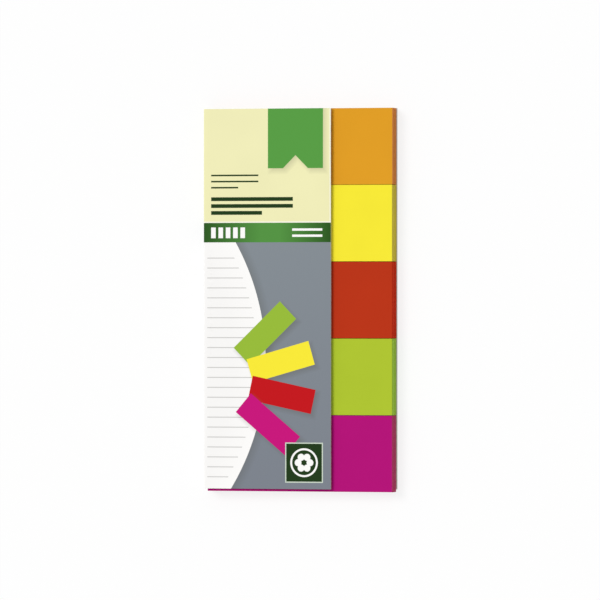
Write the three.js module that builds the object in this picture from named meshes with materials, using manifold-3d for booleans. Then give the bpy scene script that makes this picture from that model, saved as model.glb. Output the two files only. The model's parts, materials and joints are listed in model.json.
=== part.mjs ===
// A pack of sticky index tabs: five pads of neon paper strips, glued side by side onto a folded
// card cover. The card's front leaf opens like the cover of a book.
// Millimetres, +Z up. The pack lies on its back leaf, with the strips along X and the row of
// pads along Y. The origin is on the underside, below the middle of the pack.

import * as THREE from 'three';
import { mergeVertices } from 'three/addons/utils/BufferGeometryUtils.js';
import Module from 'manifold-3d';

// Paper strips
const STRIP_LENGTH = 50;
const STRIP_WIDTH = 19.8;
const STRIP_THICKNESS = 0.1;
const STRIPS_PER_PAD = 40;
const STRIP_SCATTER = 0.06; // the most that a strip lies out of line with its pad
const SCATTER_STEP = 0.02; // every strip's offset is a whole number of these

// Card cover
const CARD_THICKNESS = 0.4;
const BEND_RADIUS = 0.4; // inside the bend from the back leaf to the spine
const LEAF_WIDTH = 34.7; // front leaf, from the fold to its free edge
const LEAF_SPRING = 0.3; // how much higher the leaf's free edge stands than its crease
const BACK_LEAF_PROUD = 0.14; // back leaf past the furthest strip's free end
const CARD_SHORT = 0.6; // card short of the lower edge of the pads

// Clearances
const PAD_CLEARANCE = 0.08; // between the most scattered strips of two pads
const END_CLEARANCE = 0.14; // from the bend to the most scattered strip's bound end
const LEAF_CLEARANCE = 0.3; // from the top strips to the closed front leaf
const CREASE_CLEARANCE = 0.3; // from the front leaf's round fold to the top of the spine

// Pads, from the top edge of the pack to its lower edge
const PADS = [
  { name: 'pad_orange', colour: 0xe19e24 },
  { name: 'pad_yellow', colour: 0xf8ea36 },
  { name: 'pad_red', colour: 0xba3517 },
  { name: 'pad_green', colour: 0xafc531 },
  { name: 'pad_magenta', colour: 0xb41078 },
];
const CARD_COLOUR = 0xf0edb9;
const CURVE_SEGMENTS = 10;

// Places along X are measured from the outer face of the spine, and along Z from the underside
const padPitch = STRIP_WIDTH + 2 * STRIP_SCATTER + PAD_CLEARANCE;
const rowLength = (PADS.length - 1) * padPitch + STRIP_WIDTH;
const rowTop = rowLength / 2;
const rowBottom = -rowLength / 2;
const boundEnd = CARD_THICKNESS + BEND_RADIUS + END_CLEARANCE + STRIP_SCATTER;
const packWidth = boundEnd + STRIP_LENGTH + STRIP_SCATTER + BACK_LEAF_PROUD;
const padTop = CARD_THICKNESS + STRIPS_PER_PAD * STRIP_THICKNESS;
const cardTop = rowTop + STRIP_SCATTER;
const cardLength = cardTop - rowBottom - CARD_SHORT;

// The front leaf turns about the middle of the card's thickness at the crease
const foldRadius = CARD_THICKNESS / 2;
const creaseX = foldRadius;
const creaseZ = padTop + LEAF_CLEARANCE + foldRadius;
const leafReach = LEAF_WIDTH - foldRadius;

const wasm = await Module();
wasm.setup();

// A closed geometry as a solid that can be joined to others
function solidOf(geometry) {
  geometry.deleteAttribute('normal');
  geometry.deleteAttribute('uv');
  const merged = mergeVertices(geometry);
  return new wasm.Manifold(new wasm.Mesh({
    numProp: 3,
    vertProperties: merged.attributes.position.array,
    triVerts: new Uint32Array(merged.index.array),
  }));
}

// A joined solid as a geometry again
function geometryOf(solid) {
  const mesh = solid.getMesh();
  const geometry = new THREE.BufferGeometry();
  geometry.setAttribute('position', new THREE.BufferAttribute(mesh.vertProperties, 3));
  geometry.setIndex(new THREE.BufferAttribute(mesh.triVerts, 1));
  geometry.computeVertexNormals();
  return geometry;
}

// Card as thick as its drawn profile, with the profile's y upright and the card's length
// running from y = 0 towards -Y
function cardGeometry(profile) {
  const geometry = new THREE.ExtrudeGeometry(profile, {
    depth: cardLength,
    bevelEnabled: false,
    curveSegments: CURVE_SEGMENTS,
  });
  geometry.rotateX(Math.PI / 2);
  return geometry;
}

// Back leaf, bend and spine. The spine's top edge is dished round the front leaf's fold.
function coverBackProfile() {
  const outerRadius = CARD_THICKNESS + BEND_RADIUS;
  const seatRadius = foldRadius + CREASE_CLEARANCE;
  const seatAngle = Math.acos(foldRadius / seatRadius);
  const profile = new THREE.Shape();
  profile.moveTo(outerRadius, 0);
  profile.lineTo(packWidth, 0);
  profile.lineTo(packWidth, CARD_THICKNESS);
  profile.lineTo(outerRadius, CARD_THICKNESS);
  profile.absarc(outerRadius, outerRadius, BEND_RADIUS, 1.5 * Math.PI, Math.PI, true);
  profile.absarc(creaseX, creaseZ, seatRadius, -seatAngle, seatAngle - Math.PI, true);
  profile.absarc(outerRadius, outerRadius, outerRadius, Math.PI, 1.5 * Math.PI, false);
  return profile;
}

// Front leaf, drawn from its crease: a round fold, then a sheet that rises slightly towards
// its free edge, as pressed card does
function coverFrontProfile() {
  const profile = new THREE.Shape();
  profile.moveTo(0, -foldRadius);
  profile.quadraticCurveTo(leafReach / 2, -foldRadius, leafReach, LEAF_SPRING - foldRadius);
  profile.lineTo(leafReach, LEAF_SPRING + foldRadius);
  profile.quadraticCurveTo(leafReach / 2, foldRadius, 0, foldRadius);
  profile.absarc(0, 0, foldRadius, 0.5 * Math.PI, 1.5 * Math.PI, false);
  return profile;
}

// The same offset each time for one strip of one pad, in one direction
function scatter(pad, strip, direction) {
  const wave = 43758.5453 * Math.sin(12.9898 * (pad + 1) + 78.233 * (strip + 1) + 37.719 * direction);
  const share = wave - Math.floor(wave);
  const steps = Math.round((2 * share - 1) * STRIP_SCATTER / SCATTER_STEP);
  return steps * SCATTER_STEP;
}

// One pad: its strips glued into one block, each lying a little out of line with the others
function padGeometry(pad) {
  const strips = [];
  for (let strip = 0; strip < STRIPS_PER_PAD; strip += 1) {
    const paper = new THREE.BoxGeometry(STRIP_LENGTH, STRIP_WIDTH, STRIP_THICKNESS);
    paper.translate(
      STRIP_LENGTH / 2 + scatter(pad, strip, 0),
      scatter(pad, strip, 1),
      (strip + 0.5) * STRIP_THICKNESS,
    );
    strips.push(solidOf(paper));
  }
  return geometryOf(wasm.Manifold.union(strips));
}

function material(colour, roughness) {
  return new THREE.MeshStandardMaterial({ color: colour, roughness, metalness: 0 });
}

function placed(name, geometry, look, x, y, z) {
  const mesh = new THREE.Mesh(geometry, look);
  mesh.name = name;
  mesh.position.set(x, y, z);
  return mesh;
}

const cardLook = material(CARD_COLOUR, 0.55);
const pack = new THREE.Group();
pack.name = 'index_tab_pack';
pack.position.x = -packWidth / 2;

pack.add(placed('cover_back', cardGeometry(coverBackProfile()), cardLook, 0, cardTop, 0));
pack.add(placed('cover_front', cardGeometry(coverFrontProfile()), cardLook, creaseX, cardTop, creaseZ));

PADS.forEach(({ name, colour }, pad) => {
  const middle = rowTop - STRIP_WIDTH / 2 - pad * padPitch;
  pack.add(placed(name, padGeometry(pad), material(colour, 0.9), boundEnd, middle, CARD_THICKNESS));
});

export default pack;
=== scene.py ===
"""A pack of sticky index tabs: five pads of neon paper strips, glued side by side onto a folded
card cover whose front leaf opens like the cover of a book. It is laid out as an add-on and run
as a script. Sizes are in metres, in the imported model's frame."""

import json
import math

import bpy
from bpy.props import FloatProperty, FloatVectorProperty, IntProperty, PointerProperty
from mathutils import Matrix, Vector


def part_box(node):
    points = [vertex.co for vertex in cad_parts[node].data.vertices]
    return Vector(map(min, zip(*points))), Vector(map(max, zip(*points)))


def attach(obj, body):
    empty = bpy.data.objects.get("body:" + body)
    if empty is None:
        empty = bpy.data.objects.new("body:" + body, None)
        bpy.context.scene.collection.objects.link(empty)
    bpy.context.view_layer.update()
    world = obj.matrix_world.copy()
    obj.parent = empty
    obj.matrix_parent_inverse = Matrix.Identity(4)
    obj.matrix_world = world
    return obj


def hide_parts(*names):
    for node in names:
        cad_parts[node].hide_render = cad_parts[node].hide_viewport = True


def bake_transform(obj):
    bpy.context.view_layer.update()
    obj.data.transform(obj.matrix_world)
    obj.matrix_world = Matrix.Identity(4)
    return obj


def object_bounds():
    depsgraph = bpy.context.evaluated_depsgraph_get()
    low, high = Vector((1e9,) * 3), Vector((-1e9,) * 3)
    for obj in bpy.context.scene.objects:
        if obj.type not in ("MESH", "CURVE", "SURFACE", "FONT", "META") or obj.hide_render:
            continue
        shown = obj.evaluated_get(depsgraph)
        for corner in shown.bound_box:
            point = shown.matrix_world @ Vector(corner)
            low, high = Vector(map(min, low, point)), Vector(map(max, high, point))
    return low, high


bl_info = {
    "name": "Index Tab Pack",
    "version": (1, 0, 0),
    "blender": (4, 5, 0),
    "location": "View3D > Sidebar > Index Tabs",
    "description": "Makes a pack of sticky index tabs on a folded card cover",
    "category": "Object",
}

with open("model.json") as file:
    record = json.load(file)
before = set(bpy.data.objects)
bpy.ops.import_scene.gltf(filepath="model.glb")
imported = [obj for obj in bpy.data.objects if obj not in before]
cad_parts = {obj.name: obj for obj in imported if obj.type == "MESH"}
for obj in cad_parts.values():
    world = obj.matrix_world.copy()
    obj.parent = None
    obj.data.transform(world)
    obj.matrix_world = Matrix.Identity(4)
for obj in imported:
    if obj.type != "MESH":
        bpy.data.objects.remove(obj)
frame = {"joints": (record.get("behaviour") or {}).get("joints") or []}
CAD_LOW, CAD_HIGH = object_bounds()
BACK_LOW, BACK_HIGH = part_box("cover_back")
LEAF_LOW, LEAF_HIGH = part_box("cover_front")
CREASE = Vector(frame["joints"][0]["pos_m"])

MM = 0.001
PAD_NAMES = ("orange", "yellow", "red", "green", "magenta")
CARD_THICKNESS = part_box("pad_orange")[0].z - BACK_LOW.z
LEAF_REACH = LEAF_HIGH.x - LEAF_LOW.x
LEAF_SPRING = LEAF_HIGH.z - CARD_THICKNESS / 2 - CREASE.z
CARD_LENGTH = LEAF_HIGH.y - LEAF_LOW.y

# The card is made in two stretches that meet under the pads, this far past the lower bend
SEAM_GAP = 0.8 * MM

# Steps along the card's path, and rows down its length. The fold has an odd number of steps, so
# that no row of points lies in its middle, where the sheet turns within this reach.
BACK_STEPS, BEND_STEPS, SPINE_STEPS, FOLD_STEPS, LEAF_STEPS = 12, 8, 8, 7, 24
CARD_ROWS = 40
SHARP_ANGLE = math.radians(40)

# The front leaf's free edge lies in waves: how many half turns down its length, and from where
WARP_WAVES, WARP_START = 2.6, 0.7

# The card's map holds millimetres times this, measured from the fold and from the lower edge
MAP_SCALE = 0.01
CARD_MAP = "CardSheet"


# Settings


def length(name, default, description):
    """A size in metres."""
    return FloatProperty(
        name=name,
        default=default,
        description=description,
        unit="LENGTH",
        precision=5,
        min=0.0,
    )


def colour(name, default, description):
    """A colour in linear light."""
    return FloatVectorProperty(
        name=name,
        default=default,
        description=description,
        subtype="COLOR",
        size=3,
        min=0.0,
        max=1.0,
    )


class CardSettings(bpy.types.PropertyGroup):
    """The folded card's shape"""

    bend_radius: length("Bend radius", 0.4 * MM, "Inside of the bend below the spine")
    fold_radius: length("Fold radius", 0.25 * MM, "Middle of the card at the crease")
    warp: length("Warp", 0.06 * MM, "How unevenly the front leaf's free edge lies")


class PrintSettings(bpy.types.PropertyGroup):
    """The inks and the bare board of the card"""

    cream: colour("Cream", (0.871, 0.845, 0.484), "Panel at the card's top edge")
    ribbon: colour("Ribbon", (0.090, 0.330, 0.052), "Bookmark at the top edge")
    band_dark: colour("Band ends", (0.018, 0.085, 0.008), "Ends of the green band")
    band_light: colour("Band middle", (0.082, 0.285, 0.050), "Middle of the green band")
    ink: colour("Dark ink", (0.010, 0.038, 0.005), "Ruled lines and the ornament's field")
    green: colour("Printed green", (0.305, 0.495, 0.036), "First strip of the printed fan")
    yellow: colour("Printed yellow", (0.939, 0.815, 0.033), "Second strip of the printed fan")
    red: colour("Printed red", (0.546, 0.002, 0.006), "Third strip of the printed fan")
    magenta: colour("Printed magenta", (0.572, 0.001, 0.193), "Last strip of the printed fan")
    page: colour("Page white", (0.975, 0.965, 0.950), "Pale field")
    page_shade: colour("Page shade", (0.900, 0.890, 0.880), "Pale field towards its edge")
    slate_top: colour("Slate, top", (0.228, 0.259, 0.288), "Upper part of the slate field")
    slate_low: colour("Slate, low", (0.200, 0.222, 0.260), "Lower part of the slate field")
    board: colour("Board", (0.720, 0.700, 0.640), "Uncoated inner face of the card")
    core: colour("Board core", (0.560, 0.540, 0.470), "Cut edges of the card")


class PadSettings(bpy.types.PropertyGroup):
    """The paper strips and their five colours"""

    strips: IntProperty(name="Strips", default=40, min=1, description="Strips in each pad")
    scatter: length("Scatter", 0.06 * MM, "The most that a strip lies out of line lengthways")
    sway: length("Sway", 0.02 * MM, "The most that a strip lies out of line sideways")
    lift: length("Lift", 0.16 * MM, "How high the top strip's free end stands")
    orange: colour("Orange", (0.751, 0.341, 0.018), "First pad's paper")
    yellow: colour("Yellow", (0.939, 0.824, 0.037), "Second pad's paper")
    red: colour("Red", (0.492, 0.035, 0.008), "Third pad's paper")
    green: colour("Green", (0.427, 0.558, 0.031), "Fourth pad's paper")
    magenta: colour("Magenta", (0.459, 0.005, 0.189), "Fifth pad's paper")
    orange_cut: colour("Orange, cut", (0.800, 0.300, 0.125), "First pad's cut edges")
    yellow_cut: colour("Yellow, cut", (0.600, 0.495, 0.120), "Second pad's cut edges")
    red_cut: colour("Red, cut", (0.860, 0.048, 0.013), "Third pad's cut edges")
    green_cut: colour("Green, cut", (0.430, 0.730, 0.110), "Fourth pad's cut edges")
    magenta_cut: colour("Magenta, cut", (0.620, 0.110, 0.175), "Fifth pad's cut edges")


class StageSettings(bpy.types.PropertyGroup):
    """The floor, the light and the camera"""

    floor: colour("Floor", (0.960, 0.960, 0.960), "Floor under the pack")
    veil: FloatProperty(
        name="Veil",
        default=0.8,
        min=0.0,
        max=1.0,
        subtype="FACTOR",
        description="How much the floor pales to white where the camera sees it",
    )
    sky: FloatProperty(
        name="Sky", default=0.60, min=0.0, description="Even light from all round"
    )
    sun: FloatProperty(
        name="Main light", default=1.52, min=0.0, description="Strength of the soft main light"
    )
    softness: FloatProperty(
        name="Softness",
        default=math.radians(26),
        subtype="ANGLE",
        description="Width of the main light as the pack sees it",
    )
    lens: FloatProperty(
        name="Lens", default=400.0, min=1.0, description="Focal length in millimetres"
    )
    frame_width: length("Frame width", 0.1566, "Width of the picture at the pack")
    turn: FloatProperty(
        name="Turn",
        default=math.radians(16),
        subtype="ANGLE",
        description="Camera's turn from straight above towards the strips' free ends",
    )
    tilt: FloatProperty(
        name="Tilt",
        default=0.0,
        subtype="ANGLE",
        description="Camera's turn from straight above towards the lower edge",
    )


class PackSettings(bpy.types.PropertyGroup):
    """All settings of the pack"""

    card: PointerProperty(type=CardSettings)
    ink: PointerProperty(type=PrintSettings)
    pads: PointerProperty(type=PadSettings)
    stage: PointerProperty(type=StageSettings)


# Shader maths


class Term:
    """A value that changes over a surface. Plain maths on a number adds Math nodes."""

    def __init__(self, shading, socket):
        self.shading = shading
        self.socket = socket

    def __add__(self, other):
        return self.shading.maths("ADD", self, other)

    def __sub__(self, other):
        return self.shading.maths("SUBTRACT", self, other)

    def __rsub__(self, other):
        return self.shading.maths("SUBTRACT", other, self)

    def __mul__(self, other):
        return self.shading.maths("MULTIPLY", self, other)

    def __truediv__(self, other):
        return self.shading.maths("DIVIDE", self, other)

    def __rtruediv__(self, other):
        return self.shading.maths("DIVIDE", other, self)

    def __abs__(self):
        return self.shading.maths("ABSOLUTE", self)

    __radd__ = __add__
    __rmul__ = __mul__


def fill_ramp(elements, stops):
    """Gives a new ramp these places and colours, the first and last on its own two ends."""
    for place, tint in stops[1:-1]:
        elements.new(place).color = (*tint, 1.0)
    for end, (place, tint) in ((elements[0], stops[0]), (elements[-1], stops[-1])):
        end.position = place
        end.color = (*tint, 1.0)


class Shading:
    """A shader tree under construction."""

    def __init__(self, tree):
        self.tree = tree

    def node(self, kind, inputs=None, output=0, stops=None, **settings):
        """A node of this kind: its settings first, then its sockets' values or links."""
        made = self.tree.nodes.new(kind)
        for name, value in settings.items():
            setattr(made, name, value)
        if stops:
            fill_ramp(made.color_ramp.elements, stops)
        for name, value in (inputs or {}).items():
            self.feed(made.inputs[name], value)
        return Term(self, made.outputs[output])

    def feed(self, socket, value):
        """Links a term to a socket, or sets the socket's own value."""
        if isinstance(value, Term):
            self.tree.links.new(value.socket, socket)
        elif hasattr(value, "__len__") and len(value) == 3 and socket.type == "RGBA":
            socket.default_value = (*value, 1.0)
        else:
            socket.default_value = value

    def output_of(self, term, name):
        """Another output of the node that this term comes from."""
        return Term(self, term.socket.node.outputs[name])

    def maths(self, operation, *values, clamp=False):
        return self.node(
            "ShaderNodeMath", dict(enumerate(values)), operation=operation, use_clamp=clamp
        )

    def fade(self, value, start, end):
        """0 where the value is at or before start, 1 at or past end, and even between them."""
        span = end - start
        return self.maths("MULTIPLY_ADD", value, 1 / span, -start / span, clamp=True)

    def larger(self, a, b):
        return self.maths("MAXIMUM", a, b)

    def smaller(self, a, b):
        return self.maths("MINIMUM", a, b)

    def between(self, share, low, high):
        """low where share is 0 and high where it is 1."""
        return low + share * (high - low)

    def mix(self, share, a, b):
        """Colour a where share is 0 and b where it is 1."""
        inputs = {0: share, 6: a, 7: b}
        return self.node("ShaderNodeMix", inputs, output=2, data_type="RGBA")

    def clouded(self, share, tint, amount):
        """A colour, darker by this much where share is 0 and lighter where it is 1."""
        return self.mix(share, shade(tint, 1 - amount), shade(tint, 1 + amount))

    def noise(self, where, scale, detail=2.0, roughness=0.5):
        return self.node(
            "ShaderNodeTexNoise",
            {"Vector": where, "Scale": scale, "Detail": detail, "Roughness": roughness},
        )

    def bump(self, height, distance):
        return self.node("ShaderNodeBump", {"Height": height, "Distance": distance})


class Surface(Shading):
    """A material under construction, with its Principled shader."""

    def __init__(self, name):
        self.material = bpy.data.materials.new(name)
        self.material.use_nodes = True
        super().__init__(self.material.node_tree)
        self.shader = self.tree.nodes["Principled BSDF"]

    def set(self, **inputs):
        """Feeds the Principled shader, its socket names written with underscores."""
        for name, value in inputs.items():
            self.feed(self.shader.inputs[name.replace("_", " ")], value)
        return self.material


def shade(tint, amount):
    """A colour made lighter or darker."""
    return tuple(min(1.0, channel * amount) for channel in tint)


def blend_colours(a, b, share):
    return tuple(x + (y - x) * share for x, y in zip(a, b))


# The card's print


class Sheet:
    """Flat shapes on the card. across runs from the fold to the free edge of the front leaf and
    down runs from the top edge, both in millimetres. A shape is its distance from its own
    outline, below zero inside."""

    CRISP = 0.07

    def __init__(self, surface):
        uv = surface.node("ShaderNodeUVMap", uv_map=CARD_MAP)
        map_x = surface.node("ShaderNodeSeparateXYZ", {0: uv})
        map_y = surface.output_of(map_x, "Y")
        self.surface = surface
        self.across = map_x / MAP_SCALE
        self.down = CARD_LENGTH / MM - map_y / MAP_SCALE
        self.place = surface.node("ShaderNodeCombineXYZ", {0: self.across, 1: self.down})

    def mask(self, shape, soft=CRISP):
        """1 inside the shape and 0 outside, over a soft edge of this width."""
        return self.surface.fade(shape, soft / 2, -soft / 2)

    def box(self, left, right, top, bottom, turn=0.0, shift=(0.0, 0.0)):
        """A rectangle, turned about its middle."""
        middle = ((left + right) / 2 + shift[0], (top + bottom) / 2 + shift[1])
        x = self.across - middle[0]
        y = self.down - middle[1]
        if turn:
            cos, sin = math.cos(turn), math.sin(turn)
            x, y = x * cos + y * sin, y * cos - x * sin
        beyond_x = abs(x) - abs(right - left) / 2
        beyond_y = abs(y) - abs(bottom - top) / 2
        return self.surface.larger(beyond_x, beyond_y)

    def disc(self, across, down, radius):
        x = self.across - across
        y = self.down - down
        return self.surface.maths("SQRT", x * x + y * y) - radius

    def stripe(self, top, bottom):
        """A stretch of the card's whole width."""
        return abs(self.down - (top + bottom) / 2) - (bottom - top) / 2

    def notch(self, middle, tip):
        """A V that opens downwards from its tip, with sides at 45 degrees."""
        return abs(self.across - middle) - (self.down - tip)

    def draw(self, base, shape, tint, soft=CRISP, amount=1.0):
        cover = self.mask(shape, soft)
        return self.surface.mix(cover if amount == 1.0 else cover * amount, base, tint)


# Where the print's parts lie, in millimetres across from the fold and down from the top edge.
# Only the light stretch of the band is in shares of the front leaf.
PANEL_BOTTOM = 29.45
MARGIN_WIDTH = 0.3
BAND_TOP, BAND_BOTTOM = 29.8, 34.9
BAND_LIGHT_SPAN = (0.45, 0.60)
BAND_TABS, TAB_WIDTH, TAB_PITCH, TAB_TOP, TAB_BOTTOM = 5, 1.25, 2.0, 31.0, 33.8
BAND_LINES, BAND_LINE, BAND_LINE_LEFT, BAND_LINE_RIGHT = (31.6, 33.2), 0.6, 24.2, 32.4
RIBBON_LEFT, RIBBON_RIGHT, RIBBON_BOTTOM, RIBBON_TIP = 17.6, 32.6, 15.6, 12.2
FINE_RULES, FINE_LINE = ((17.4, 15.0), (19.0, 15.0), (20.6, 9.5)), 0.42
BOLD_RULES, BOLD_LINE = ((23.6, 24.4), (25.4, 24.4), (27.2, 16.0)), 1.0
RULE_LEFT = 2.1
SLATE_FADE = (36.0, 96.0)
ARC_MIDDLE, ARC_RADIUS = (-46.0, 66.0), 63.0
PAGE_FADE = 9.0
PAGE_RULE_LEFT, PAGE_RULE_SPAN = 1.05, (38.5, 96.5)
PAGE_RULE_PITCH, PAGE_RULE_WIDTH, PAGE_RULE_MARGIN = 2.6, 0.24, 2.2
FAN_PIVOT = (4.0, 71.0)
FAN_REACH = (9.0, 26.5)
FAN_WIDTH = 6.4
FAN_TURNS = tuple(math.radians(degrees) for degrees in (-44, -16, 12, 40))
STAMP_BOX = (22.6, 32.3, 87.4, 97.3)
STAMP_RIM = 0.28
WREATH_RADIUS, WREATH_LINE = 3.5, 0.5
PETALS, PETAL_RADIUS, PETAL_OFFSET = 6, 0.92, 1.62
FLOWER_HEART = 0.62
FOLD_WEAR, FOLD_WEAR_SOFT = 0.06, 0.22

# The cream panel's darkest and lightest tone and the plain back's tone, and how far the page and
# the two rims go from page white to another ink
CREAM_TONES = (0.965, 1.03)
BACK_TONE = 0.97
PAGE_TINT, CARD_RIM_TINT, STAMP_RIM_TINT = 0.55, 0.35, 0.40

# The print's drawn shadows: their ink, how far they lie from what casts them, how soft they are
# and how much each covers
SHADOW_INK = (0.10, 0.10, 0.08)
SHADOW_SHIFT, SHADOW_SOFT = (0.7, 0.8), 1.8
RIBBON_SHADOW, FAN_SHADOW = 0.30, 0.40
PAGE_SHADOW, PAGE_SHADOW_REACH, PAGE_SHADOW_SOFT = 0.42, 0.9, 3.2
PAGE_RULE_AMOUNT = 0.42

# Noise on the print, for each millimetre, and how sharp the fold's cracks are and how much of
# the board they show
GRAIN_SCALE, WEAVE_SCALE, FIBRE_SCALE, CRACK_SCALE = 0.08, 1.1, 3.2, 11.0
CRACK_CONTRAST, CRACK_SHARE = 6.0, 0.30

# Noise on the bare board, over the card's map, where its flecks begin and are full, how much of
# a darker tone they bring in, and how cloudy its face and its cut edges are
BOARD_FIBRE_SCALE, BOARD_FLECK_SCALE = 160.0, 620.0
FLECK_SPAN = (2 / 3, 7 / 9)
FLECK_SHARE, FLECK_TONE = 0.35, 0.72
BOARD_CLOUDINESS, CUT_CLOUDINESS = 0.05, 0.12

# How strongly print and board mirror, how rough they are at least and at most, and how deep
# their grain is
PRINT_GLOSS, BOARD_GLOSS = 0.09, 0.25
PRINT_ROUGHNESS, BOARD_ROUGHNESS = (0.42, 0.58), (0.78, 0.92)
WEAVE_DEPTH, FIBRE_DEPTH = 0.004 * MM, 0.02 * MM


def draw_panel(sheet, base, ink):
    """The cream panel, with its bookmark ribbon and ruled lines."""
    panel = sheet.down - PANEL_BOTTOM
    grain = sheet.surface.noise(sheet.place, GRAIN_SCALE, detail=1.0)
    cream = sheet.surface.mix(grain, *(shade(ink.cream, tone) for tone in CREAM_TONES))
    base = sheet.draw(base, panel, cream)
    middle = (RIBBON_LEFT + RIBBON_RIGHT) / 2
    for shift, tint, soft, amount in (
        (SHADOW_SHIFT, SHADOW_INK, SHADOW_SOFT, RIBBON_SHADOW),
        ((0.0, 0.0), ink.ribbon, Sheet.CRISP, 1.0),
    ):
        corners = (RIBBON_LEFT, RIBBON_RIGHT, -RIBBON_BOTTOM, RIBBON_BOTTOM)
        ribbon = sheet.box(*corners, shift=shift)
        cut = sheet.notch(middle + shift[0], RIBBON_TIP + shift[1])
        # A side at 45 degrees is nearer than it is straight across
        shape = sheet.surface.larger(ribbon, cut * -math.sqrt(0.5))
        base = sheet.draw(base, shape, tint, soft, amount)
    for rules, thick in ((FINE_RULES, FINE_LINE), (BOLD_RULES, BOLD_LINE)):
        for down, right in rules:
            line = sheet.box(RULE_LEFT, right, down - thick / 2, down + thick / 2)
            base = sheet.draw(base, line, ink.ink)
    return base


def draw_band(sheet, base, ink):
    """The green band, darker at both ends, with small white tabs and lines on it."""
    ramp = sheet.surface.node(
        "ShaderNodeValToRGB",
        {0: sheet.across / (LEAF_REACH / MM)},
        stops=(
            (0.0, ink.band_dark),
            (BAND_LIGHT_SPAN[0], ink.band_light),
            (BAND_LIGHT_SPAN[1], ink.band_light),
            (1.0, ink.band_dark),
        ),
    )
    base = sheet.draw(base, sheet.stripe(BAND_TOP, BAND_BOTTOM), ramp)
    for index in range(BAND_TABS):
        left = RULE_LEFT + index * TAB_PITCH
        tab = sheet.box(left, left + TAB_WIDTH, TAB_TOP, TAB_BOTTOM)
        base = sheet.draw(base, tab, ink.page)
    for down in BAND_LINES:
        top, bottom = down - BAND_LINE / 2, down + BAND_LINE / 2
        line = sheet.box(BAND_LINE_LEFT, BAND_LINE_RIGHT, top, bottom)
        base = sheet.draw(base, line, ink.page)
    return base


def draw_field(sheet, ink):
    """The lower field: a ruled pale sheet with a curved edge on slate, and a fan of strips."""
    surface = sheet.surface
    falling = surface.fade(sheet.down, *SLATE_FADE)
    slate = surface.mix(falling, ink.slate_top, ink.slate_low)
    arc = sheet.disc(*ARC_MIDDLE, ARC_RADIUS)
    shadow = arc - PAGE_SHADOW_REACH
    base = sheet.draw(slate, shadow, SHADOW_INK, PAGE_SHADOW_SOFT, PAGE_SHADOW)
    inwards = surface.fade(arc, 0.0, -PAGE_FADE)
    far_page = blend_colours(ink.page, ink.page_shade, PAGE_TINT)
    page = surface.mix(inwards, ink.page, far_page)
    base = sheet.draw(base, arc, page)
    rules = surface.maths("PINGPONG", sheet.down, PAGE_RULE_PITCH / 2) - PAGE_RULE_WIDTH / 2
    ruled = sheet.box(PAGE_RULE_LEFT, LEAF_REACH / MM, *PAGE_RULE_SPAN)
    ruled = surface.larger(ruled, arc + PAGE_RULE_MARGIN)
    rules = surface.larger(rules, ruled)
    base = sheet.draw(base, rules, SHADOW_INK, amount=PAGE_RULE_AMOUNT)
    middle = sum(FAN_REACH) / 2
    half = (FAN_REACH[1] - FAN_REACH[0]) / 2
    for tint, turn in zip((ink.green, ink.yellow, ink.red, ink.magenta), FAN_TURNS):
        across = FAN_PIVOT[0] + middle * math.cos(turn)
        down = FAN_PIVOT[1] + middle * math.sin(turn)
        corners = (across - half, across + half, down - FAN_WIDTH / 2, down + FAN_WIDTH / 2)
        shadow = sheet.box(*corners, turn=turn, shift=SHADOW_SHIFT)
        base = sheet.draw(base, shadow, SHADOW_INK, SHADOW_SOFT, FAN_SHADOW)
        strip = sheet.box(*corners, turn=turn)
        base = sheet.draw(base, strip, tint)
    return base


def draw_stamp(sheet, base, ink):
    """A dark square in a pale rim, with a plain flower in a ring on it."""
    left, right, top, bottom = STAMP_BOX
    surface = sheet.surface
    square = sheet.box(*STAMP_BOX)
    rim = blend_colours(ink.page, ink.ribbon, STAMP_RIM_TINT)
    base = sheet.draw(base, square - STAMP_RIM, rim)
    base = sheet.draw(base, square, ink.ink)
    across, down = (left + right) / 2, (top + bottom) / 2
    ring = abs(sheet.disc(across, down, WREATH_RADIUS)) - WREATH_LINE / 2
    flower = ring
    for step in range(PETALS):
        angle = 2 * math.pi * step / PETALS
        x = across + PETAL_OFFSET * math.cos(angle)
        y = down + PETAL_OFFSET * math.sin(angle)
        flower = surface.smaller(flower, sheet.disc(x, y, PETAL_RADIUS))
    base = sheet.draw(base, flower, ink.page)
    return sheet.draw(base, sheet.disc(across, down, FLOWER_HEART), ink.ink)


def printed_card(ink):
    """The card's outer face: satin coated print, with a plain white back."""
    surface = Surface("printed_card")
    sheet = Sheet(surface)
    base = draw_field(sheet, ink)
    rim = blend_colours(ink.page, ink.cream, CARD_RIM_TINT)
    base = sheet.draw(base, sheet.down - BAND_TOP, rim)
    base = draw_panel(sheet, base, ink)
    base = draw_band(sheet, base, ink)
    base = draw_stamp(sheet, base, ink)
    leaf = LEAF_REACH / MM
    margin = sheet.box(leaf - MARGIN_WIDTH, leaf + 1, -1, BAND_TOP)
    base = sheet.draw(base, margin, rim)
    spine = (CREASE.z + CARD_THICKNESS / 2) / MM
    base = sheet.draw(base, sheet.across + spine, shade(ink.page, BACK_TONE))
    fibre = surface.noise(sheet.place, FIBRE_SCALE, detail=4.0)
    crack = (surface.noise(sheet.place, CRACK_SCALE, detail=3.0) - 0.5) * CRACK_CONTRAST
    fold = sheet.mask(abs(sheet.across) - FOLD_WEAR, FOLD_WEAR_SOFT)
    worn = surface.maths("MULTIPLY", fold, crack, clamp=True) * CRACK_SHARE
    base = surface.mix(worn, base, ink.board)
    weave = surface.noise(sheet.place, WEAVE_SCALE, detail=3.0)
    return surface.set(
        Base_Color=base,
        Roughness=surface.between(fibre, *PRINT_ROUGHNESS),
        Specular_IOR_Level=PRINT_GLOSS,
        Normal=surface.bump(weave, WEAVE_DEPTH),
    )


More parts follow.
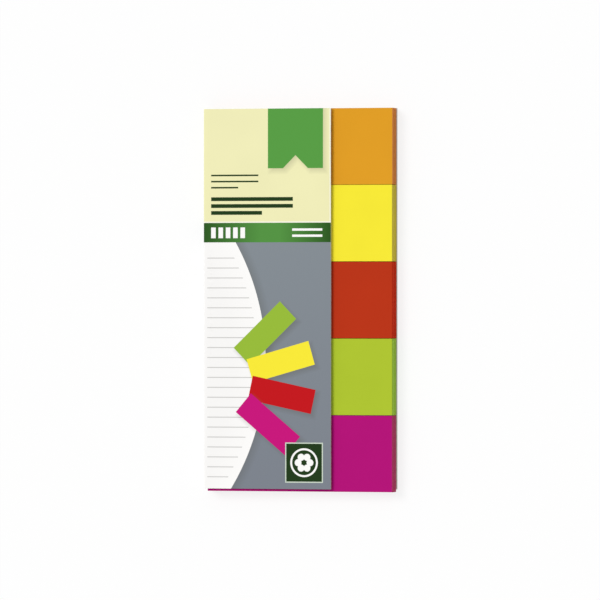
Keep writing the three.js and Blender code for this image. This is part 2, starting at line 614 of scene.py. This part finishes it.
def bare_card(name, tint, cloudiness):
    """Uncoated board: pale, with flecks and soft fibres."""
    surface = Surface(name)
    uv = surface.node("ShaderNodeUVMap", uv_map=CARD_MAP)
    fibre = surface.noise(uv, BOARD_FIBRE_SCALE, detail=5.0, roughness=0.65)
    fleck = surface.noise(uv, BOARD_FLECK_SCALE, detail=2.0)
    spots = surface.fade(fleck, *FLECK_SPAN)
    base = surface.clouded(fibre, tint, cloudiness)
    base = surface.mix(spots * FLECK_SHARE, base, shade(tint, FLECK_TONE))
    return surface.set(
        Base_Color=base,
        Roughness=surface.between(fibre, *BOARD_ROUGHNESS),
        Specular_IOR_Level=BOARD_GLOSS,
        Normal=surface.bump(fibre, FIBRE_DEPTH),
    )


# The card


def card_path(card):
    """Points along the middle of the card, from the back leaf's free edge round to the front
    leaf's, each as its place along the sheet from the fold, its x and z, and the direction out
    of its printed face."""
    half = CARD_THICKNESS / 2
    bend = card.bend_radius + half
    bend_at = (BACK_LOW.x + half + bend, BACK_LOW.z + half + bend)
    fold = card.fold_radius
    fold_at = (CREASE.x + fold, CREASE.z - fold)
    points = []
    for step in range(BACK_STEPS + 1):
        x = BACK_HIGH.x + (bend_at[0] + SEAM_GAP - BACK_HIGH.x) * step / BACK_STEPS
        points.append((x, BACK_LOW.z + half, 0.0, -1.0))
    for step in range(BEND_STEPS + 1):
        angle = math.radians(270 - 90 * step / BEND_STEPS)
        out = (math.cos(angle), math.sin(angle))
        points.append((bend_at[0] + bend * out[0], bend_at[1] + bend * out[1], *out))
    for step in range(1, SPINE_STEPS):
        z = bend_at[1] + (fold_at[1] - bend_at[1]) * step / SPINE_STEPS
        points.append((CREASE.x, z, -1.0, 0.0))
    for step in range(FOLD_STEPS + 1):
        angle = math.radians(180 - 90 * step / FOLD_STEPS)
        out = (math.cos(angle), math.sin(angle))
        points.append((fold_at[0] + fold * out[0], fold_at[1] + fold * out[1], *out))
    reach = LEAF_HIGH.x - CREASE.x
    for step in range(1, LEAF_STEPS + 1):
        run = fold + (reach - fold) * step / LEAF_STEPS
        slope = 2 * LEAF_SPRING * run / reach**2
        out = Vector((-slope, 1.0)).normalized()
        points.append((CREASE.x + run, CREASE.z + LEAF_SPRING * (run / reach) ** 2, *out))
    return with_distance(points)


def with_distance(points):
    """The same points, each led by its distance along the sheet from the fold."""
    travelled = [0.0]
    for (x0, z0, *_), (x1, z1, *_) in zip(points, points[1:]):
        travelled.append(travelled[-1] + math.hypot(x1 - x0, z1 - z0))
    start = travelled[-1] - LEAF_REACH
    return [(at - start, *point) for at, point in zip(travelled, points)]


def leaf_warp(card, along, y):
    """How far the front leaf lies off its even rise, most at its free edge."""
    share = max(0.0, along / LEAF_REACH)
    span = (y - LEAF_LOW.y) / CARD_LENGTH
    return card.warp * share**2 * math.sin(WARP_WAVES * math.pi * span + WARP_START)


def card_mesh(name, card, path):
    """A stretch of the card as a closed sheet: printed outside, bare inside, cut edges round."""
    half = CARD_THICKNESS / 2
    places = [LEAF_LOW.y + CARD_LENGTH * row / CARD_ROWS for row in range(CARD_ROWS + 1)]
    vertices, charts = [], []
    for side in (1, -1):
        for along, x, z, out_x, out_z in path:
            for y in places:
                rise = leaf_warp(card, along, y)
                vertices.append((x + side * half * out_x, y, z + side * half * out_z + rise))
                charts.append((along / MM * MAP_SCALE, (y - LEAF_LOW.y) / MM * MAP_SCALE))
    across, down = len(path), len(places)
    inner = across * down
    faces, looks = [], []
    for i in range(across - 1):
        for j in range(down - 1):
            a, b, c, d = i * down + j, (i + 1) * down + j, (i + 1) * down + j + 1, i * down + j + 1
            faces += [(a, b, c, d), (inner + d, inner + c, inner + b, inner + a)]
            looks += [0, 1]
        for j, forward in ((0, False), (down - 1, True)):
            a, b = i * down + j, (i + 1) * down + j
            edge = (a, b, inner + b, inner + a)
            faces.append(edge if forward else edge[::-1])
            looks.append(2)
    for i, forward in ((0, True), (across - 1, False)):
        for j in range(down - 1):
            a, b = i * down + j, i * down + j + 1
            edge = (a, b, inner + b, inner + a)
            faces.append(edge if forward else edge[::-1])
            looks.append(2)
    mesh = bpy.data.meshes.new(name)
    mesh.from_pydata(vertices, [], faces)
    chart = mesh.uv_layers.new(name=CARD_MAP)
    for loop in mesh.loops:
        chart.uv[loop.index].vector = charts[loop.vertex_index]
    mesh.polygons.foreach_set("material_index", looks)
    mesh.shade_smooth()
    mesh.set_sharp_from_angle(angle=SHARP_ANGLE)
    return mesh


class INDEXTABS_OT_card(bpy.types.Operator):
    """Make the folded card cover, whose front stretch bends at the fold"""

    bl_idname = "indextabs.card"
    bl_label = "Card Cover"

    def execute(self, context):
        settings = context.scene.index_tabs
        ink = settings.ink
        path = card_path(settings.card)
        looks = (
            printed_card(ink),
            bare_card("bare_board", ink.board, BOARD_CLOUDINESS),
            bare_card("cut_board", ink.core, CUT_CLOUDINESS),
        )
        cards = []
        for name, stretch in (
            ("card_back", path[: BACK_STEPS + 1]),
            ("card_front", path[BACK_STEPS:]),
        ):
            mesh = card_mesh(name, settings.card, stretch)
            for look in looks:
                mesh.materials.append(look)
            card = bpy.data.objects.new(name, mesh)
            context.scene.collection.objects.link(card)
            cards.append(card)
        back, front = cards
        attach(back, "pack")
        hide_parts("cover_back")
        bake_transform(front)
        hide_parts("cover_front")
        return {"FINISHED"}


# The pads

# The paper's grain: noise for each metre, how much of a darker tone it brings in and how deep it
# is. The streaks lie this much closer across the cut.
CLOUD_SCALE, CLOUDINESS = 90.0, 0.045
TOOTH_SCALE, TOOTH_SHARE, TOOTH_TONE, TOOTH_DEPTH = 5200.0, 0.10, 0.80, 0.010 * MM
STREAK_SCALE, STREAK_SHARE, STREAK_TONE, STREAK_DEPTH = 900.0, 0.30, 0.70, 0.02 * MM
STREAK_SQUEEZE = 9.0
PAPER_GLOSS = 0.08
PAPER_ROUGHNESS, CUT_ROUGHNESS = (0.80, 0.92), 0.88

# The darkest and lightest strip's tone, the points along a strip, how much of its share of the
# pad's height it fills, how many strips lift and the first pad's seed
CUT_TONES = (0.82, 1.12)
STRIP_POINTS = 12
STRIP_FILL = 0.93
LIFTED_STRIPS = 7
FIRST_SEED = 11

# What a strip carries into its pad's mesh
STRIP_TONE = "strip_tone"
STRIP_DEPTH = "strip_depth"


def paper_face(name, tint):
    """The flat of a paper strip: matt, with a fine tooth and a faint cloudiness."""
    surface = Surface(f"paper_{name}")
    place = surface.node("ShaderNodeTexCoord", output=3)
    cloud = surface.noise(place, CLOUD_SCALE, detail=3.0)
    tooth = surface.noise(place, TOOTH_SCALE, detail=3.0, roughness=0.6)
    base = surface.clouded(cloud, tint, CLOUDINESS)
    base = surface.mix(tooth * TOOTH_SHARE, base, shade(tint, TOOTH_TONE))
    return surface.set(
        Base_Color=base,
        Roughness=surface.between(tooth, *PAPER_ROUGHNESS),
        Specular_IOR_Level=PAPER_GLOSS,
        Normal=surface.bump(tooth, TOOTH_DEPTH),
    )


def paper_edge(name, cut):
    """The cut edges of the strips: each strip's own tone, streaked along the cut."""
    surface = Surface(f"paper_edge_{name}")
    place = surface.node("ShaderNodeTexCoord", output=3)
    squeeze = (1.0, 1.0, STREAK_SQUEEZE)
    squeezed = surface.node("ShaderNodeMapping", {"Vector": place, "Scale": squeeze})
    streak = surface.noise(squeezed, STREAK_SCALE, detail=3.0)
    tone = surface.node("ShaderNodeAttribute", output=2, attribute_name=STRIP_TONE)
    base = surface.mix(tone, *(shade(cut, amount) for amount in CUT_TONES))
    base = surface.mix(streak * STREAK_SHARE, base, shade(cut, STREAK_TONE))
    return surface.set(
        Base_Color=base,
        Roughness=CUT_ROUGHNESS,
        Specular_IOR_Level=PAPER_GLOSS,
        Normal=surface.bump(streak, STREAK_DEPTH),
    )


class Stack:
    """A Geometry Nodes tree under construction, with named inputs."""

    def __init__(self, name, inputs):
        self.tree = bpy.data.node_groups.new(name, "GeometryNodeTree")
        sockets = self.tree.interface
        self.identifiers = {}
        for label, kind in inputs.items():
            item = sockets.new_socket(label, in_out="INPUT", socket_type=kind)
            self.identifiers[label] = item.identifier
        sockets.new_socket("Geometry", in_out="OUTPUT", socket_type="NodeSocketGeometry")
        self.inputs = self.tree.nodes.new("NodeGroupInput")

    def given(self, label):
        return self.inputs.outputs[label]

    def node(self, kind, inputs=None, output=0, **settings):
        """A node of this kind: its settings first, then its sockets' values or links."""
        made = self.tree.nodes.new(kind)
        for name, value in settings.items():
            setattr(made, name, value)
        for name, value in (inputs or {}).items():
            socket = made.inputs[name]
            if isinstance(value, bpy.types.NodeSocket):
                self.tree.links.new(value, socket)
            else:
                socket.default_value = value
        return made.outputs[output]

    def maths(self, operation, *values, clamp=False):
        return self.node(
            "ShaderNodeMath", dict(enumerate(values)), operation=operation, use_clamp=clamp
        )

    def finish(self, geometry):
        out = self.tree.nodes.new("NodeGroupOutput")
        self.tree.links.new(geometry, out.inputs[0])
        return self.tree


def strip_stack():
    """One pad: strips stacked a little out of line, the top few lifting at their free ends."""
    stack = Stack(
        "strip_stack",
        {
            "Length": "NodeSocketFloat",
            "Width": "NodeSocketFloat",
            "Thickness": "NodeSocketFloat",
            "Strips": "NodeSocketInt",
            "Scatter": "NodeSocketVector",
            "Lift": "NodeSocketFloat",
            "Lift from": "NodeSocketFloat",
            "Seed": "NodeSocketInt",
            "Face": "NodeSocketMaterial",
            "Edge": "NodeSocketMaterial",
        },
    )
    given, node, maths = stack.given, stack.node, stack.maths
    thickness = given("Thickness")
    step = node("ShaderNodeCombineXYZ", {2: thickness})
    first = node("ShaderNodeCombineXYZ", {2: maths("MULTIPLY", thickness, 0.5)})
    line = node(
        "GeometryNodeMeshLine",
        {"Count": given("Strips"), "Start Location": first, "Offset": step},
    )
    index = node("GeometryNodeInputIndex")
    offset = node(
        "FunctionNodeRandomValue",
        {"Min": (-1.0, -1.0, 0.0), "Max": (1.0, 1.0, 0.0), "ID": index, "Seed": given("Seed")},
        data_type="FLOAT_VECTOR",
    )
    offset = node("ShaderNodeVectorMath", {0: offset, 1: given("Scatter")}, operation="MULTIPLY")
    points = node("GeometryNodeSetPosition", {"Geometry": line, "Offset": offset})
    size = node(
        "ShaderNodeCombineXYZ",
        {0: given("Length"), 1: given("Width"), 2: maths("MULTIPLY", thickness, STRIP_FILL)},
    )
    counts = {"Vertices X": STRIP_POINTS, "Vertices Y": 2, "Vertices Z": 2}
    strip = node("GeometryNodeMeshCube", {"Size": size, **counts})
    strips = node("GeometryNodeInstanceOnPoints", {"Points": points, "Instance": strip})
    tone = node(
        "FunctionNodeRandomValue",
        {2: 0.0, 3: 1.0, "ID": index, "Seed": maths("ADD", given("Seed"), 1)},
        output=1,
        data_type="FLOAT",
    )
    last = maths("SUBTRACT", given("Strips"), 1)
    depth = maths("SUBTRACT", last, index)
    for name, value in ((STRIP_TONE, tone), (STRIP_DEPTH, depth)):
        strips = node(
            "GeometryNodeStoreNamedAttribute",
            {"Geometry": strips, "Name": name, "Value": value},
            data_type="FLOAT",
            domain="INSTANCE",
        )
    real = node("GeometryNodeRealizeInstances", {"Geometry": strips})
    x = node("ShaderNodeSeparateXYZ", {0: node("GeometryNodeInputPosition")})
    past = maths("SUBTRACT", x, given("Lift from"))
    run = maths("SUBTRACT", maths("MULTIPLY", given("Length"), 0.5), given("Lift from"))
    share = maths("DIVIDE", past, run, clamp=True)
    own = node("GeometryNodeInputNamedAttribute", {"Name": STRIP_DEPTH}, data_type="FLOAT")
    top_share = maths("MULTIPLY_ADD", own, -1 / LIFTED_STRIPS, 1.0, clamp=True)
    rise = maths("MULTIPLY", maths("POWER", share, 2.0), maths("POWER", top_share, 2.0))
    rise = maths("MULTIPLY", rise, given("Lift"))
    lifted = node(
        "GeometryNodeSetPosition",
        {"Geometry": real, "Offset": node("ShaderNodeCombineXYZ", {2: rise})},
    )
    faced = node("GeometryNodeSetMaterial", {"Geometry": lifted, "Material": given("Face")})
    upright = node("ShaderNodeSeparateXYZ", {0: node("GeometryNodeInputNormal")}, output=2)
    side = maths("LESS_THAN", maths("ABSOLUTE", upright), 0.5)
    edged = node(
        "GeometryNodeSetMaterial",
        {"Geometry": faced, "Selection": side, "Material": given("Edge")},
    )
    return stack, stack.finish(edged)


def lift_share(number):
    """How much of the whole lift this pad has, so that no two lift alike."""
    return 0.6 + 0.4 * math.sin(2.1 * number + 1)


class INDEXTABS_OT_pads(bpy.types.Operator):
    """Make the five pads, each a stack of paper strips"""

    bl_idname = "indextabs.pads"
    bl_label = "Strip Pads"

    def execute(self, context):
        settings = context.scene.index_tabs.pads
        stack, tree = strip_stack()
        for number, name in enumerate(PAD_NAMES):
            low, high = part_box(f"pad_{name}")
            middle = (low + high) / 2
            values = {
                "Length": high.x - low.x - 2 * settings.scatter,
                "Width": high.y - low.y - 2 * settings.sway,
                "Thickness": (high.z - low.z) / settings.strips,
                "Strips": settings.strips,
                "Scatter": (settings.scatter, settings.sway, 0.0),
                "Lift": settings.lift * lift_share(number),
                "Lift from": LEAF_HIGH.x - middle.x,
                "Seed": FIRST_SEED + number,
                "Face": paper_face(name, getattr(settings, name)),
                "Edge": paper_edge(name, getattr(settings, f"{name}_cut")),
            }
            pad = grown(f"strips_{name}", tree, stack.identifiers, values)
            pad.data.transform(Matrix.Translation((middle.x, middle.y, low.z)))
            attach(pad, "pack")
            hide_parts(f"pad_{name}")
        return {"FINISHED"}


def grown(name, tree, identifiers, values):
    """What a Geometry Nodes tree makes from these inputs, as a plain mesh object."""
    seedling = bpy.data.objects.new(name, bpy.data.meshes.new(f"{name}_start"))
    bpy.context.scene.collection.objects.link(seedling)
    modifier = seedling.modifiers.new("strips", "NODES")
    modifier.node_group = tree
    for label, value in values.items():
        modifier[identifiers[label]] = value
    depsgraph = bpy.context.evaluated_depsgraph_get()
    mesh = bpy.data.meshes.new_from_object(seedling.evaluated_get(depsgraph))
    seedling.modifiers.remove(modifier)
    seedling.data = mesh
    mesh.name = name
    return seedling


# The stage

FLOOR_REACH = 6.0
FLOOR_DROP = 0.02 * MM
FLOOR_CLOUD_SCALE, FLOOR_CLOUDINESS = 3.0, 0.005
LIGHT_FROM = Vector((-0.42, 0.36, 0.83))
CAMERA_RANGE = 20.0


def floor_look(tint, veil):
    """Pale ground, paler still where the camera or a gloss sees it, with soft shadows."""
    surface = Surface("floor")
    place = surface.node("ShaderNodeTexCoord", output=3)
    cloud = surface.noise(place, FLOOR_CLOUD_SCALE)
    base = surface.clouded(cloud, tint, FLOOR_CLOUDINESS)
    surface.set(Base_Color=base, Roughness=0.9, Specular_IOR_Level=0.0)
    camera_ray = surface.node("ShaderNodeLightPath")
    glossy_ray = surface.output_of(camera_ray, "Is Glossy Ray")
    seen = surface.maths("ADD", camera_ray, glossy_ray, clamp=True)
    white = surface.node("ShaderNodeEmission", {"Color": (1.0, 1.0, 1.0)})
    ground = Term(surface, surface.shader.outputs[0])
    both = surface.node("ShaderNodeMixShader", {0: seen * veil, 1: ground, 2: white})
    surface.feed(surface.tree.nodes["Material Output"].inputs["Surface"], both)
    return surface.material


def light_sky(scene, strength):
    """Even light all round, and plain white where the camera looks past the floor."""
    world = bpy.data.worlds.new("sky")
    world.use_nodes = True
    scene.world = world
    sky = Shading(world.node_tree)
    camera_ray = sky.node("ShaderNodeLightPath")
    background = sky.tree.nodes["Background"]
    sky.feed(background.inputs["Color"], (1.0, 1.0, 1.0))
    sky.feed(background.inputs["Strength"], sky.between(camera_ray, strength, 1.0))


def looking(direction, up):
    """The turn of a camera or lamp that looks along direction with up at the picture's top."""
    back = -direction.normalized()
    right = up.cross(back).normalized()
    return Matrix((right, back.cross(right), back)).transposed().to_4x4()


class INDEXTABS_OT_stage(bpy.types.Operator):
    """Make the floor, the soft light and the camera"""

    bl_idname = "indextabs.stage"
    bl_label = "Stage"

    def execute(self, context):
        stage = context.scene.index_tabs.stage
        scene = context.scene
        corners = [(-1, -1), (1, -1), (1, 1), (-1, 1)]
        places = [(x * FLOOR_REACH, y * FLOOR_REACH, -FLOOR_DROP) for x, y in corners]
        mesh = bpy.data.meshes.new("floor")
        mesh.from_pydata(places, [], [(0, 1, 2, 3)])
        mesh.materials.append(floor_look(stage.floor, stage.veil))
        floor = bpy.data.objects.new("floor", mesh)
        scene.collection.objects.link(floor)
        light_sky(scene, stage.sky)

        target = Vector((0.0, 0.0, (CAD_LOW.z + CAD_HIGH.z) / 2))
        lamp = bpy.data.lights.new("sun", "SUN")
        lamp.angle = stage.softness
        lamp.energy = stage.sun
        sun = bpy.data.objects.new("sun", lamp)
        sun.matrix_world = looking(-LIGHT_FROM, Vector((0, 1, 0)))
        sun.location = target + LIGHT_FROM
        scene.collection.objects.link(sun)

        lens = bpy.data.cameras.new("camera")
        lens.lens = stage.lens
        camera = bpy.data.objects.new("camera", lens)
        side, below = math.tan(stage.turn), math.tan(stage.tilt)
        away = Vector((side, -below, 1.0)).normalized()
        camera.matrix_world = looking(-away, Vector((0, 1, 0)))
        camera.location = target + away * stage.frame_width * stage.lens / lens.sensor_width
        lens.clip_end = CAMERA_RANGE
        scene.collection.objects.link(camera)
        scene.camera = camera
        scene.view_settings.view_transform = "Standard"
        return {"FINISHED"}


# The panel and the run


class INDEXTABS_PT_pack(bpy.types.Panel):
    """What the pack is made of"""

    bl_idname = "INDEXTABS_PT_pack"
    bl_label = "Index Tab Pack"
    bl_space_type = "VIEW_3D"
    bl_region_type = "UI"
    bl_category = "Index Tabs"

    def draw(self, context):
        settings = context.scene.index_tabs
        groups = (
            ("indextabs.card", (settings.card, settings.ink)),
            ("indextabs.pads", (settings.pads,)),
            ("indextabs.stage", (settings.stage,)),
        )
        for operator, parts in groups:
            box = self.layout.box()
            for part in parts:
                for name in part.__annotations__:
                    box.prop(part, name)
            box.operator(operator)


CLASSES = (
    CardSettings,
    PrintSettings,
    PadSettings,
    StageSettings,
    PackSettings,
    INDEXTABS_OT_card,
    INDEXTABS_OT_pads,
    INDEXTABS_OT_stage,
    INDEXTABS_PT_pack,
)


def register():
    for each in CLASSES:
        bpy.utils.register_class(each)
    bpy.types.Scene.index_tabs = PointerProperty(type=PackSettings)


def unregister():
    del bpy.types.Scene.index_tabs
    for each in reversed(CLASSES):
        bpy.utils.unregister_class(each)


def main():
    register()
    bpy.ops.indextabs.stage()
    bpy.ops.indextabs.card()
    bpy.ops.indextabs.pads()


if __name__ == "__main__":
    main()
